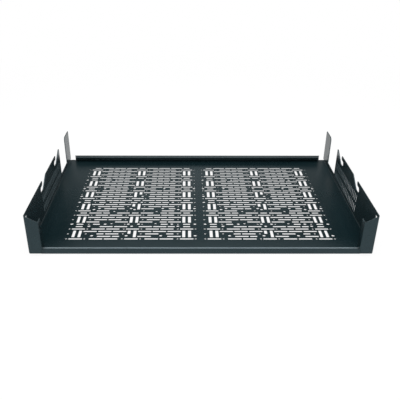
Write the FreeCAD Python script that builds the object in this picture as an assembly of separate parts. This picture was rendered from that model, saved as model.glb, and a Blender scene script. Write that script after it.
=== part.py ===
import FreeCAD, Part
import math
import os

from FreeCAD import Vector

# Hang-on rack shelf: one steel sheet, punched and folded.
# Sizes are in millimetres. X runs across, Y from front to back and Z up.
# The origin lies under the middle of the shelf, level with its lowest edge.

# Sheet and folds
sheet = 1.2
bend_radius = 0.6

# Tray
overall_width = 442.0
overall_depth = 284.4
wall_rise = 50.5
lip_drop = 9.3
lip_setback = 6.0
lip_overlap = 3.4

# Front flanges, and the returns folded back from their inner edges
flange_width = 17.5
flange_drop = 5.0
flange_corner = 2.0
flange_foot_inset = 1.3
flange_top_outer = 0.2
flange_top_inner = 9.7
return_depth = 10.8
return_gap = 1.0

# Round hole in each side wall, close behind its flange
side_hole_diameter = 6.2
side_hole_depth = 9.2
side_hole_drop = 6.9

# Rear lip, folded up and then forward
rear_lip_inset = 2.2
rear_lip_rise = 8.0
rear_return = 10.6
rear_lip_end = 10.1
rear_mitre = 3.7

# Ears at the back of the side walls, and the open notches in front of them
ear_length = 30.0
ear_extra = 0.8
ear_corner = 6.0
notch_length = 44.7
notch_rise = 6.2
cut_corner = 0.6

# Hook slots in the top of the side walls
hook_count = 2
hook_pitch = 86.0
hook_mouth = 22.8
hook_depth = 13.5
hook_ramp = 22.0
hook_reach = 11.2
hook_channel = 8.0
hook_nose = 3.5
hook_foot = 4.0
last_block = 4.2

# Upright vent slots in the side walls
wall_vent_count = 17
wall_vent_rows = 2
wall_vent_width = 3.8
wall_vent_height = 12.5
wall_vent_web = 3.1
wall_vent_row_web = 3.0
wall_vent_base = 4.2
wall_vent_margin = 6.0

# Slots and round vents of the pan
slot_length = 18.0
slot_width = 4.0
short_slot = 9.5
slot_web = 2.0
pair_web = 3.9
pair_end_web = 1.5
dot_diameter = 3.2
dot_offset = 12.1
dot_web = 0.95
pattern_front_margin = 20.0
pattern_rear_margin = 25.0
pattern_side_margin = 35.0

# Fixing holes of one field of the pan, measured from its left slot pair and counted in slot rows.
# The bolt lines are repeated half a turn round, so that a device fits either way.
bolt_diameter = 4.5
bolt_first = 20.6
bolts_in_line = 4
bolt_rows = (1.25, 13.1, 23.15)
bolt_turn_rows = 29.2
extra_bolt_row = 6.05
extra_turned_row = 19.1
stud_diameter = 4.5
stud_places = (13.1, 72.0, 135.6)
stud_rows = (5.15, 12.6)
tie_diameter = 3.6
tie_places = (43.4, 104.5)
tie_rows = (6.25, 11.7)

# Crosswise slots of the rows that differ from the rest, from left to right in a field.
# F is a full slot, L its left half, R its right half, S a short slot in the middle, and - none.
# Two groups lie between the slot pairs, and the third lies in line with the pairs.
special_rows = {
    1: ("-FL", "F-F", "---"),
    2: ("RF", "FR", "---"),
    5: ("-FF", "FFL", "S-S"),
    6: ("L-", "-L", "S-S"),
    7: ("F-F", "FRF", "---"),
    11: ("FLF", "FRF", "SSS"),
    12: ("F-", "-F", "F-F"),
    13: ("-FL", "F-L", "---"),
    16: ("LF", "FL", "SLF"),
    19: ("FFF", "RFF", "---"),
    23: ("-FL", "F-F", "S-S"),
    28: ("LF", "FL", "S-F"),
}
# Slots of the middle pair that are cut short: block of rows, and side of the pair
short_pair_slots = ((0, -1), (2, -1), (3, 1))
rows_per_block = 6
pair_rows = (1, 2, 3)
columns = (0, 1, 2)
slots_between_pairs = 3
field_step = 2.5

# Planes and places that follow from the sizes
half_width = overall_width / 2
front = -overall_depth / 2
rear = overall_depth / 2
fold = bend_radius + sheet
pan_top = lip_drop
pan_under = pan_top - sheet
pan_middle = pan_top - sheet / 2
wall_top = pan_top + wall_rise
wall_base = pan_under + fold
wall_middle = half_width - sheet / 2
pan_side = half_width - fold
wall_front = front + fold
lip_front = front + lip_setback
pan_front = lip_front + fold
rear_face = rear - rear_lip_inset
pan_rear = rear_face - fold
flange_inner = half_width - flange_width
flange_bottom = pan_top - flange_drop
ear_front = rear - ear_length
notch_front = ear_front - notch_length

# Pitches of the pan's pattern
row_pitch = (slot_length + slot_width + 2 * pair_end_web) / (len(pair_rows) + 1)
pair_spacing = slot_width + pair_web
between_pairs = slots_between_pairs * (slot_length + slot_web) + slot_web
column_pitch = pair_spacing + slot_width + between_pairs
field_span = (len(columns) - 1) * column_pitch
field_pitch = field_step * column_pitch
bolt_pitch = field_pitch / bolts_in_line
field_width = field_span + 2 * dot_offset + dot_diameter
row_room = pan_rear - lip_front - pattern_front_margin - pattern_rear_margin
block_count = int(row_room // (rows_per_block * row_pitch))
field_room = overall_width - 2 * pattern_side_margin + field_pitch - field_width
field_count = int(field_room // field_pitch)


def on_xy(z):
    return lambda p: Vector(p.x, p.y, z)


def on_xz(y):
    return lambda p: Vector(p.x, y, p.y)


def on_yz(x):
    return lambda p: Vector(x, p.x, p.y)


def outline(corners, place):
    # Closed outline through corners given as (u, v, radius). A radius of 0 leaves a corner sharp.
    points = [Vector(u, v, 0) for u, v, radius in corners]
    rounds = []
    for i, point in enumerate(points):
        radius = corners[i][2]
        to_last = (points[i - 1] - point).normalize()
        to_next = (points[(i + 1) % len(points)] - point).normalize()
        half_angle = to_last.getAngle(to_next) / 2
        reach = radius / math.tan(half_angle)
        inward = (to_last + to_next) * (1 / (2 * math.cos(half_angle)))
        middle = point + inward * (radius / math.sin(half_angle) - radius)
        rounds.append((point + to_last * reach, middle, point + to_next * reach))
    edges = []
    for i, (start, middle, end) in enumerate(rounds):
        last = rounds[i - 1][2]
        if (start - last).Length > 1e-6:
            edges.append(Part.makeLine(place(last), place(start)))
        if corners[i][2] > 0:
            edges.append(Part.Arc(place(start), place(middle), place(end)).toShape())
    return Part.Wire(edges)


def leftward(run):
    return Vector(-run.y, run.x, 0)


def strip(corners, place):
    # Section of a folded strip along the middle line of the sheet. Every fold is a right angle.
    points = [Vector(u, v, 0) for u, v in corners]
    runs = [(b - a).normalize() for a, b in zip(points, points[1:])]
    faces = []
    for side in (1, -1):
        face = []
        for i, point in enumerate(points):
            before = runs[max(i - 1, 0)]
            after = runs[min(i, len(runs) - 1)]
            turn = before.cross(after).z * side
            shift = leftward(after)
            radius = 0
            if abs(turn) > 0.5:
                shift = leftward(before) + leftward(after)
                radius = bend_radius if turn > 0 else fold
            at = point + shift * (side * sheet / 2)
            face.append((at.x, at.y, radius))
        faces.append(face)
    return outline(faces[0] + faces[1][::-1], place)


def plate(wire, push, holes=()):
    # Solid of one outline, pierced by the holes' outlines.
    face = Part.Face(wire)
    if holes:
        face = face.cut(Part.Compound([Part.Face(hole) for hole in holes]))
    return face.extrude(push)


def box_outline(u, v, u_size, v_size, place):
    # Rectangle round a middle point: a slot, a vent or the flat of the pan.
    ends = [(-1, -1), (1, -1), (1, 1), (-1, 1)]
    return outline([(u + a * u_size / 2, v + b * v_size / 2, 0) for a, b in ends], place)


def round_outline(x, y, diameter):
    return Part.Wire(Part.makeCircle(diameter / 2, Vector(x, y, pan_under)))


def row_place(row):
    return lip_front + pattern_front_margin + slot_width / 2 + row * row_pitch


def row_letters(row):
    if row in special_rows:
        return special_rows[row]
    between, in_line = ("FF", "FFF") if row % 2 == 0 else ("FFF", "SSS")
    if row % rows_per_block in pair_rows:
        in_line = "---"
    return between, between, in_line


def letter_slot(letter, middle, y):
    # The crosswise slot that a letter stands for, in a place whose full slot has the given middle.
    length = slot_length if letter == "F" else short_slot
    shift = {"L": -1, "R": 1}.get(letter, 0) * (slot_length - length) / 2
    return box_outline(middle + shift, y, length, slot_width, on_xy(pan_under))


def crosswise_slots(left, row):
    slots = []
    y = row_place(row)
    between_left, between_right, in_line = row_letters(row)
    for column, letters in enumerate((between_left, between_right)):
        middle = left + (column + 0.5) * column_pitch
        for i, letter in enumerate(letters):
            step = (i - (len(letters) - 1) / 2) * (slot_length + slot_web)
            if letter != "-":
                slots.append(letter_slot(letter, middle + step, y))
    for column, letter in zip(columns, in_line):
        if letter != "-":
            slots.append(letter_slot(letter, left + column * column_pitch, y))
    return slots


def pair_slots(left, block):
    slots = []
    middle_row = block * rows_per_block + pair_rows[1]
    for column in columns:
        for side in (-1, 1):
            short = column == columns[1] and (block, side) in short_pair_slots
            length = short_slot if short else slot_length
            x = left + column * column_pitch + side * pair_spacing / 2
            y = row_place(middle_row) + (slot_length - length) / 2
            slots.append(box_outline(x, y, slot_width, length, on_xy(pan_under)))
    return slots


def fixing_places(left):
    # Middle and diameter of every fixing hole in the field.
    bolts = [bolt_first + i * bolt_pitch for i in range(bolts_in_line)]
    turned = [field_span - x for x in bolts]
    lines = [(row, bolts, bolt_diameter) for row in bolt_rows]
    lines += [(bolt_turn_rows - row, turned, bolt_diameter) for row in bolt_rows]
    lines.append((extra_bolt_row, bolts[1::2], bolt_diameter))
    lines.append((extra_turned_row, turned[1::2], bolt_diameter))
    lines.append((bolt_rows[-1], turned[-1:], bolt_diameter))
    lines += [(row, stud_places, stud_diameter) for row in stud_rows]
    lines += [(row, tie_places, tie_diameter) for row in tie_rows]
    last_row = block_count * rows_per_block - 1
    lines = [line for line in lines if line[0] < last_row]
    return [(left + x, row_place(row), size) for row, places, size in lines for x in places]


def dot_places(left, row, fixings):
    # Small round vents beside the pairs, left out where a fixing hole takes their place.
    y = row_place(row)
    places = []
    for column in columns:
        for side in (-1, 1):
            x = left + column * column_pitch + side * dot_offset
            room = [math.hypot(x - fx, y - fy) - (dot_diameter + size) / 2 for fx, fy, size in fixings]
            if min(room) > dot_web:
                places.append((x, y, dot_diameter))
    return places


def field_holes(left):
    fixings = fixing_places(left)
    rounds = list(fixings)
    slots = []
    for block in range(block_count):
        slots += pair_slots(left, block)
    for row in range(block_count * rows_per_block):
        slots += crosswise_slots(left, row)
        if row % 2 == 0:
            rounds += dot_places(left, row, fixings)
    return slots + [round_outline(x, y, size) for x, y, size in rounds]


def pan():
    middle_y = (pan_front + pan_rear) / 2
    flat = box_outline(0, middle_y, 2 * pan_side, pan_rear - pan_front, on_xy(pan_under))
    holes = []
    for field in range(field_count):
        middle = (field - (field_count - 1) / 2) * field_pitch
        holes += field_holes(middle - field_span / 2)
    return plate(flat, Vector(0, 0, sheet), holes)


def front_lip():
    # The lip lies behind the flanges, and its ends reach a little way past their inner edges.
    half_length = flange_inner + lip_overlap
    face_middle = lip_front + sheet / 2
    section = [(pan_front, pan_middle), (face_middle, pan_middle), (face_middle, 0)]
    return plate(strip(section, on_yz(-half_length)), Vector(2 * half_length, 0, 0))


def rear_lip():
    half_length = half_width - rear_lip_end
    lip_top = pan_top + rear_lip_rise
    top_middle = lip_top - sheet / 2
    face_middle = rear_face - sheet / 2
    section = [
        (pan_rear, pan_middle),
        (face_middle, pan_middle),
        (face_middle, top_middle),
        (pan_rear, top_middle),
    ]
    rise = plate(strip(section, on_yz(-half_length)), Vector(2 * half_length, 0, 0))
    free_edge = rear_face - rear_return
    short_half = half_length - rear_mitre
    corners = [
        (-half_length, pan_rear, 0),
        (-short_half, free_edge, 0),
        (short_half, free_edge, 0),
        (half_length, pan_rear, 0),
    ]
    return rise.fuse(plate(outline(corners, on_xy(lip_top - sheet)), Vector(0, 0, sheet)))


def hook_corners(tip):
    # Corners of one hook slot, from the nose that hangs over it to the top of its ramp.
    under = wall_top - hook_depth + hook_channel
    floor = wall_top - hook_depth
    end_radius = hook_channel / 2
    return [
        (tip, wall_top, 0),
        (tip, under, hook_nose),
        (tip - hook_reach, under, end_radius),
        (tip - hook_reach, floor, end_radius),
        (tip + hook_mouth - hook_ramp, floor, hook_foot),
        (tip + hook_mouth, wall_top, cut_corner),
    ]


def wall_vents():
    vents = []
    pitch = wall_vent_width + wall_vent_web
    last = notch_front - wall_vent_margin - wall_vent_width / 2
    for row in range(wall_vent_rows):
        z = pan_top + wall_vent_base + wall_vent_height / 2 + row * (wall_vent_height + wall_vent_row_web)
        for i in range(wall_vent_count):
            y = last - i * pitch
            vents.append(box_outline(y, z, wall_vent_width, wall_vent_height, on_yz(half_width)))
    return vents


def side_hole():
    middle = Vector(half_width, front + side_hole_depth, wall_top - side_hole_drop)
    return Part.Wire(Part.makeCircle(side_hole_diameter / 2, middle, Vector(1, 0, 0)))


def side_wall():
    # Wall with its cut-outs. In front of the pan it reaches down to the foot of the flange.
    foot = flange_bottom + flange_corner
    corners = [(pan_front, wall_base, 0), (pan_front, foot, 0)]
    corners += [(wall_front, foot, 0), (wall_front, wall_top, 0)]
    first_tip = notch_front - last_block - hook_mouth - (hook_count - 1) * hook_pitch
    for i in range(hook_count):
        corners += hook_corners(first_tip + i * hook_pitch)
    notch_floor = pan_top + notch_rise
    corners += [(notch_front, wall_top, cut_corner), (notch_front, notch_floor, cut_corner)]
    ear_top = wall_top + ear_extra
    corners += [(ear_front, notch_floor, cut_corner), (ear_front, ear_top, ear_corner)]
    corners += [(rear, ear_top, cut_corner), (rear, wall_base, 0)]
    return plate(outline(corners, on_yz(half_width)), Vector(-sheet, 0, 0), wall_vents() + [side_hole()])


def side_fold():
    section = [(pan_side, pan_middle), (wall_middle, pan_middle), (wall_middle, wall_base)]
    return plate(strip(section, on_xz(pan_front)), Vector(0, pan_rear - pan_front, 0))


def front_flange():
    face_middle = front + sheet / 2
    return_base = pan_top + return_gap
    bend = [(wall_middle, wall_front), (wall_middle, face_middle)]
    back = [(flange_inner + sheet / 2, face_middle), (flange_inner + sheet / 2, front + return_depth)]
    plain = [(flange_inner + flange_foot_inset, face_middle)]
    lower = plate(strip(bend + plain, on_xy(flange_bottom)), Vector(0, 0, return_base - flange_bottom))
    upper = plate(strip(bend + back, on_xy(return_base)), Vector(0, 0, wall_top - return_base))
    corners = [
        (flange_inner, flange_bottom, 0),
        (half_width, flange_bottom, flange_corner),
        (half_width, wall_top - flange_top_outer, 0),
        (flange_inner, wall_top - flange_top_inner, 0),
    ]
    shape = plate(outline(corners, on_xz(front)), Vector(0, return_depth, 0))
    return lower.fuse(upper).common(shape)


def shelf():
    right = side_wall().fuse([side_fold(), front_flange()])
    left = right.mirror(Vector(0, 0, 0), Vector(1, 0, 0))
    return pan().fuse([front_lip(), rear_lip(), right, left]).removeSplitter()


os.makedirs("parts", exist_ok=True)
tray = shelf()
solid = tray.Solids[0]
solid.exportStep("parts/shelf_tray.step")
print("solids", len(tray.Solids), "volume", round(solid.Volume, 1), "faces", len(solid.Faces))
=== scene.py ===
import math

import bmesh
import bpy
from mathutils import Matrix, Vector


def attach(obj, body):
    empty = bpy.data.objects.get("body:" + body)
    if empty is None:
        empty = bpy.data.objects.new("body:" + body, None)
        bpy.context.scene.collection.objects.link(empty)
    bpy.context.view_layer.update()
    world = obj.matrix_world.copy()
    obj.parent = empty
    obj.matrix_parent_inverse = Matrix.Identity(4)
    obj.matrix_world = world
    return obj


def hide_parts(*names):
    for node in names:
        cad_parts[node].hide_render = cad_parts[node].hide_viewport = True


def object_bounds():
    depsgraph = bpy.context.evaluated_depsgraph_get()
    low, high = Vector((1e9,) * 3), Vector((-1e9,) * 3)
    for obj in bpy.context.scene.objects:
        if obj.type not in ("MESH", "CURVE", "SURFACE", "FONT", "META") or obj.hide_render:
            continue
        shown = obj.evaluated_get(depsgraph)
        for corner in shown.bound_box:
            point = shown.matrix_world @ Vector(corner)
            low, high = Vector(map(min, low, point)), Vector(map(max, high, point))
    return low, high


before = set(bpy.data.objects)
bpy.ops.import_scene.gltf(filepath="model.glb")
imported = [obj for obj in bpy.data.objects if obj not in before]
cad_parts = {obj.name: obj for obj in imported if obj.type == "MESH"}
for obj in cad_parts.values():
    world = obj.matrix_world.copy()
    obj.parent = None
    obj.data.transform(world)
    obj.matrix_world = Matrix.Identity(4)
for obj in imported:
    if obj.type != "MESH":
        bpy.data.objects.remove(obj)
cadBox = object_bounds()
print("frame loaded, nodes:", sorted(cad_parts))


class Wire:
    # a node socket that does sums: each operator adds a Math node
    def __init__(self, socket):
        self.socket = socket

    @staticmethod
    def node(tree, kind, settings=None, sockets=None):
        made = tree.nodes.new(kind)
        for name, value in (settings or {}).items():
            if name == "stops":
                ramp = made.color_ramp.elements
                while len(ramp) < len(value):
                    ramp.new(0.5)
                for stop, (place, level) in zip(ramp, value):
                    stop.position = place
                    stop.color = (level, level, level, 1)
            else:
                setattr(made, name, value)
        for name, value in (sockets or {}).items():
            if isinstance(value, Wire):
                tree.links.new(value.socket, made.inputs[name])
            else:
                made.inputs[name].default_value = value
        return made

    def maths(self, operation, first, second):
        tree = self.socket.id_data
        made = Wire.node(tree, "ShaderNodeMath", {"operation": operation}, {0: first, 1: second})
        return Wire(made.outputs[0])

    def __add__(self, other):
        return self.maths("ADD", self, other)

    def __radd__(self, other):
        return self.maths("ADD", other, self)

    def __sub__(self, other):
        return self.maths("SUBTRACT", self, other)

    def __rsub__(self, other):
        return self.maths("SUBTRACT", other, self)

    def __mul__(self, other):
        return self.maths("MULTIPLY", self, other)

    def __rmul__(self, other):
        return self.maths("MULTIPLY", other, self)

    def atLeast(self, other):
        return self.maths("MAXIMUM", self, other)


def newTree(owner):
    owner.use_nodes = True
    owner.node_tree.nodes.clear()
    return owner.node_tree


# satin black powder coat, a little blue, with a fine orange peel
# a noise is its scale per metre and its detail, and a span is where a mask starts and is full
powderCoat = {
    "colour": (0.0032, 0.0104, 0.0127, 1),
    "wearAndHighlightColour": (0.105, 0.124, 0.134, 1),  # thinner coat over cut edges, and painted highlight on the lip's fold and on the cut faces across the walls
    "gloss": (0.68, 0.91, 1.0, 1),  # tint of the reflections
    "ior": 1.5,
    "driftNoise": (7.0, 3.0),  # broad clouds
    "peelNoise": (900.0, 1.5),  # orange peel
    "grainNoise": (4200.0, 1.0),  # powder grain
    "darkest": 0.86,  # shade of the colour, and what the clouds add to it
    "clouded": 0.28,
    "roughness": 0.22,
    "roughDrift": 0.05,
    "roughGrain": 0.05,
    "peelDepth": 0.00004,  # metres
    "peelStrength": 0.5,
    "grainOnPeel": 0.25,
    "edgeRadius": 0.00035,
    "edgeSamples": 6,
    "edgeSpan": (0.02, 0.25),
    "edgeWear": 0.15,
    "foldSpan": (0.005, 0.10),
    "upwardSpan": (0.05, 0.30),
    "lipSpan": (0.120, 0.128),  # metres in front of the middle
    "foldHighlight": 0.16,  # painted highlight at the top of the lip's fold
    "foldHighlightForward": 0.98,  # more painted highlight where the fold faces the front
    "wallSpan": (0.2135, 0.2185),  # metres to either side of the middle
    "flangeSpan": (0.120, 0.135),  # metres in front of the middle
    "wallCutHighlight": 0.28,  # painted highlight on the punched cut faces across the walls, behind the flanges
    "patchLeast": 0.6,  # wear and painted highlights are patchy: their least share, and what the grain adds
    "patchGrain": 0.8,
    "levelSpan": (0.90, 0.99),  # share of a normal along one axis
    "rubbedSpan": (0.106, 0.130),  # metres in front of the middle
    "rubbedRough": 0.12,  # added where hands rub the front of the pan
    "sideSpan": (0.160, 0.205),  # metres to either side of the middle
    "sideSheen": 0.015,
    "sideRough": 0.95,  # added per metre towards the back, beside the walls
}


def makePowderCoat(look):
    material = bpy.data.materials.new("satinBlackPowderCoat")
    tree = newTree(material)
    spot = Wire(Wire.node(tree, "ShaderNodeTexCoord").outputs["Object"])

    def noise(name):
        scale, detail = look[name]
        made = Wire.node(tree, "ShaderNodeTexNoise", None,
                         {"Vector": spot, "Scale": scale, "Detail": detail})
        return Wire(made.outputs[0])

    def rise(value, name):
        start, full = look[name]
        made = Wire.node(tree, "ShaderNodeValToRGB", {"stops": [(start, 0.0), (full, 1.0)]},
                         {"Fac": value})
        return Wire(made.outputs["Color"])

    drift = noise("driftNoise")
    peel = noise("peelNoise")
    grain = noise("grainNoise")

    # where the rounded normal leaves the flat one lies a cut edge of the sheet
    bevel = Wire.node(tree, "ShaderNodeBevel", {"samples": look["edgeSamples"]},
                      {"Radius": look["edgeRadius"]})
    rounded = Wire(bevel.outputs[0])
    flat = Wire(Wire.node(tree, "ShaderNodeNewGeometry").outputs["Normal"])
    facing = Wire.node(tree, "ShaderNodeVectorMath", {"operation": "DOT_PRODUCT"},
                       {0: rounded, 1: flat})
    edge = rise(1 - Wire(facing.outputs["Value"]), "edgeSpan")

    # the flats lie square to the axes, so a slanting normal that looks up is a fold
    slant = Wire.node(tree, "ShaderNodeVectorMath", {"operation": "ABSOLUTE"}, {0: flat})
    along = Wire.node(tree, "ShaderNodeSeparateXYZ", None, {0: Wire(slant.outputs[0])})
    across, ahead, up = [Wire(along.outputs[axis]) for axis in "XYZ"]
    where = Wire.node(tree, "ShaderNodeSeparateXYZ", None, {0: spot})
    forward = 0 - Wire(where.outputs["Y"])
    sideways = Wire(where.outputs["X"]).atLeast(0 - Wire(where.outputs["X"]))
    slanting = rise(1 - across.atLeast(ahead).atLeast(up), "foldSpan")
    fold = slanting * rise(up, "upwardSpan") * rise(forward, "lipSpan")
    # painted highlight along the top of the lip's fold, stronger where the fold faces the front
    paintedFoldHighlight = fold * (look["foldHighlight"] + look["foldHighlightForward"] * ahead)
    # the cut faces across the walls, behind the flanges, get a painted highlight
    cut = rise(ahead, "levelSpan") * rise(sideways, "wallSpan") * (1 - rise(forward, "flangeSpan"))
    # real wear on the cut edges, together with the painted highlights on the lip's fold and the wall
    # cut faces
    wearAndHighlights = (edge * look["edgeWear"]).atLeast(paintedFoldHighlight).atLeast(cut * look["wallCutHighlight"])
    wearAndHighlights = wearAndHighlights * (look["patchLeast"] + look["patchGrain"] * grain)

    shade = look["darkest"] + look["clouded"] * drift
    clouds = Wire.node(tree, "ShaderNodeCombineColor", None,
                       {"Red": shade, "Green": shade, "Blue": shade})
    deep = Wire.node(tree, "ShaderNodeMix", {"data_type": "RGBA", "blend_type": "MULTIPLY"},
                     {"Factor": 1.0, 6: look["colour"], 7: Wire(clouds.outputs[0])})
    colour = Wire.node(tree, "ShaderNodeMix", {"data_type": "RGBA"},
                       {"Factor": wearAndHighlights, 6: Wire(deep.outputs[2]), 7: look["wearAndHighlightColour"]})

    # duller along the front of the pan, and glossier beside the walls towards the front
    level = rise(up, "levelSpan")
    rubbed = level * rise(forward, "rubbedSpan")
    beside = level * rise(sideways, "sideSpan")
    rough = look["roughness"] + look["roughDrift"] * drift + look["roughGrain"] * grain
    rough = rough + look["rubbedRough"] * rubbed
    rough = rough - beside * (look["sideSheen"] + look["sideRough"] * forward)

    bump = Wire.node(tree, "ShaderNodeBump", None,
                     {"Strength": look["peelStrength"], "Distance": look["peelDepth"],
                      "Height": peel + look["grainOnPeel"] * grain, "Normal": rounded})
    shader = Wire.node(tree, "ShaderNodeBsdfPrincipled", None,
                       {"Base Color": Wire(colour.outputs[2]), "Roughness": rough,
                        "Normal": Wire(bump.outputs[0]), "IOR": look["ior"],
                        "Specular Tint": look["gloss"]})
    Wire.node(tree, "ShaderNodeOutputMaterial", None, {"Surface": Wire(shader.outputs[0])})
    return material


# the folded tray: the frame's own shape, with its bends shaded round
foldedTray = {
    "node": "shelf_tray",
    "slot": "powder_coat",
    "weld": 0.000002,  # metres
    "sharpFrom": 35,  # degrees between two faces
}


def makeFoldedTray(tray, material):
    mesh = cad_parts[tray["node"]].data.copy()
    mesh.name = "foldedTray"
    piece = bpy.data.objects.new("foldedTray", mesh)
    bpy.context.scene.collection.objects.link(piece)
    shape = bmesh.new()
    shape.from_mesh(mesh)
    bmesh.ops.remove_doubles(shape, verts=shape.verts, dist=tray["weld"])
    for face in shape.faces:
        face.smooth = True
    for edge in shape.edges:
        edge.smooth = edge.calc_face_angle(math.pi) < math.radians(tray["sharpFrom"])
    shape.to_mesh(mesh)
    shape.free()
    mesh.materials.clear()
    mesh.materials.append(material)
    # the flats stay flat beside the folds
    level = piece.modifiers.new("levelFlats", "WEIGHTED_NORMAL")
    level.keep_sharp = True
    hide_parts(tray["node"])
    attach(piece, "root")
    return piece


# pale floor, shown white to the camera and to reflections, with a faint shadow
paleFloor = {
    "half": 4.0,
    "drop": 0.0003,
    "colour": (0.9, 0.9, 0.9, 1),
    "glow": [(0.45, 0.93), (1.0, 1.0)],  # metres away, and share of plain white seen there
}


def makePaleFloor(floor):
    shape = bmesh.new()
    bmesh.ops.create_grid(shape, x_segments=1, y_segments=1, size=floor["half"])
    bmesh.ops.translate(shape, verts=shape.verts, vec=(0, 0, cadBox[0][2] - floor["drop"]))
    mesh = bpy.data.meshes.new("paleFloor")
    shape.to_mesh(mesh)
    shape.free()
    material = bpy.data.materials.new("paleFloor")
    tree = newTree(material)
    path = Wire.node(tree, "ShaderNodeLightPath")
    seen = Wire(path.outputs["Is Camera Ray"]).atLeast(Wire(path.outputs["Is Glossy Ray"]))
    seen = seen.atLeast(Wire(path.outputs["Is Transmission Ray"]))
    spot = Wire.node(tree, "ShaderNodeTexCoord")
    away = Wire.node(tree, "ShaderNodeVectorMath", {"operation": "LENGTH"},
                     {0: Wire(spot.outputs["Object"])})
    glow = Wire.node(tree, "ShaderNodeValToRGB", {"stops": floor["glow"]},
                     {"Fac": Wire(away.outputs["Value"])})
    matt = Wire.node(tree, "ShaderNodeBsdfDiffuse", None, {"Color": floor["colour"]})
    white = Wire.node(tree, "ShaderNodeEmission", None, {"Strength": 1.0})
    mix = Wire.node(tree, "ShaderNodeMixShader", None,
                    {0: seen * Wire(glow.outputs["Color"]), 1: Wire(matt.outputs[0]),
                     2: Wire(white.outputs[0])})
    Wire.node(tree, "ShaderNodeOutputMaterial", None, {"Surface": Wire(mix.outputs[0])})
    mesh.materials.append(material)
    piece = bpy.data.objects.new("paleFloor", mesh)
    bpy.context.scene.collection.objects.link(piece)
    return piece


# studio round the floor: white to a little above the horizon, a grey ceiling over it
studio = {
    "whiteTo": 0.20,  # height of the direction, 0 at the horizon and 1 overhead
    "greyFrom": 0.42,
    "ceiling": 0.03,
    "strength": 1.0,
}


def makeStudio(room):
    world = bpy.data.worlds.new("studio")
    tree = newTree(world)
    direction = Wire.node(tree, "ShaderNodeTexCoord")
    parts = Wire.node(tree, "ShaderNodeSeparateXYZ", None, {0: Wire(direction.outputs["Generated"])})
    sky = Wire.node(tree, "ShaderNodeValToRGB",
                    {"stops": [(room["whiteTo"], 1.0), (room["greyFrom"], room["ceiling"])]},
                    {"Fac": Wire(parts.outputs["Z"])})
    back = Wire.node(tree, "ShaderNodeBackground", None,
                     {"Color": Wire(sky.outputs["Color"]), "Strength": room["strength"]})
    Wire.node(tree, "ShaderNodeOutputWorld", None, {"Surface": Wire(back.outputs[0])})
    bpy.context.scene.world = world


# soft boxes: place and aim in metres, size, power and colour
softBoxes = {
    "overhead": {
        "place": (0, -1.05, 1.5),
        "aim": (0, -1.05, 0),
        "size": (1.8, 3.9),
        "power": 71.0,
        "colour": (1, 1, 1),
    },
    "backPanel": {
        "place": (0, 1.5, 0.72),
        "aim": (0, 0.1, 0),
        "size": (0.9, 0.45),
        "power": 0.54,
        "colour": (0.86, 0.97, 1.0),
    },
}


def makeSoftBox(name, box):
    data = bpy.data.lights.new(name, "AREA")
    data.shape = "RECTANGLE"
    data.size, data.size_y = box["size"]
    data.energy = box["power"]
    data.color = box["colour"]
    lamp = bpy.data.objects.new(name, data)
    lamp.location = box["place"]
    beam = Vector(box["aim"]) - Vector(box["place"])
    lamp.rotation_euler = beam.to_track_quat("-Z", "Y").to_euler()
    bpy.context.scene.collection.objects.link(lamp)


# the photograph's camera: place in metres, turns in degrees
photoCamera = {
    "place": (-0.01875, -0.71905, 0.39723),
    "yaw": -0.259,
    "pitchDown": 28.595,
    "roll": 0.148,
    "lens": 48.645,
    "sensor": 36.0,
    "nearest": 0.01,
    "shift": 0.0285,  # the picture is framed a little to the right of the camera's axis
}


def makeCamera(view):
    data = bpy.data.cameras.new("photoCamera")
    data.lens = view["lens"]
    data.sensor_width = view["sensor"]
    data.shift_x = view["shift"]
    data.clip_start = view["nearest"]
    camera = bpy.data.objects.new("photoCamera", data)
    turn = Matrix.Rotation(math.radians(view["yaw"]), 4, "Z")
    turn = turn @ Matrix.Rotation(math.radians(90 - view["pitchDown"]), 4, "X")
    turn = turn @ Matrix.Rotation(math.radians(view["roll"]), 4, "Z")
    camera.matrix_world = Matrix.Translation(view["place"]) @ turn
    bpy.context.scene.collection.objects.link(camera)
    bpy.context.scene.camera = camera


makeFoldedTray(foldedTray, makePowderCoat(powderCoat))
print("tray dressed")
makePaleFloor(paleFloor)
makeStudio(studio)
for boxName, boxValues in softBoxes.items():
    makeSoftBox(boxName, boxValues)
makeCamera(photoCamera)
bpy.context.scene.view_settings.view_transform = "Standard"
print("floor, studio and camera set")
